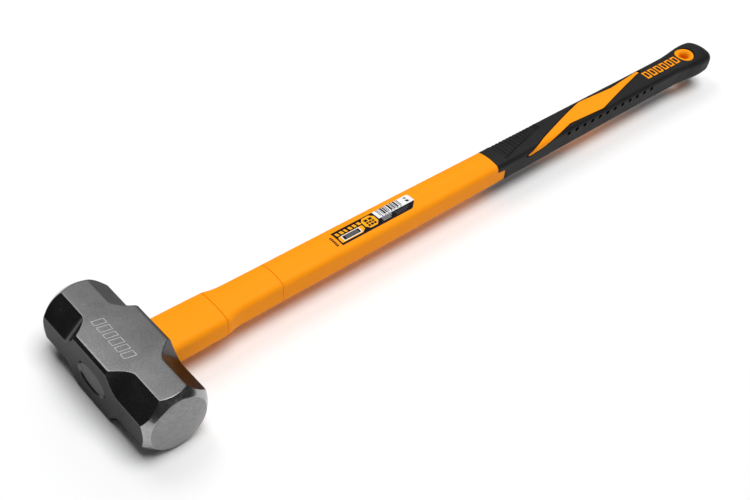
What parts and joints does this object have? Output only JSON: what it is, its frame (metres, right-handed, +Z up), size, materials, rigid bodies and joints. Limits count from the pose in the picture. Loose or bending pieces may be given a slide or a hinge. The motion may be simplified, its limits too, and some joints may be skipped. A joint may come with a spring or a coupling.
{
  "type": "sledgehammer",
  "caption": "Long-handled double-face sledgehammer: forged head with octagonal ends, jacketed glass-fibre handle, overstrike guard and rubber grip with a hang hole.",
  "frame": {"origin": "bottom centre of the bounding box: half-way along the hammer, on the plane that the head's lower flat rests on", "axes": "+X along the striking axis, +Y along the handle from the head to the grip, +Z up out of the head's upper flat"},
  "size_m": [0.1792, 0.9006, 0.0672],
  "materials": {
    "head_steel": "dark forged satin with bright ground faces",
    "eye_plug": "grey, satin",
    "epoxy": "cast",
    "fibreglass": "pultruded",
    "orange_plastic": "moulded, satin",
    "black_rubber": "matte, moulded",
    "label_film": "printed film"
  },
  "bodies": {
    "root": {"hammer_head": "head_steel", "eye_plug": "eye_plug", "eye_resin": "epoxy", "fibreglass_core": "fibreglass", "overstrike_guard": "orange_plastic", "neck_sleeve": "orange_plastic", "handle_jacket": "orange_plastic", "grip": "black_rubber", "hang_hole_bush": "orange_plastic", "product_label": "label_film"}
  },
  "joints": []
}
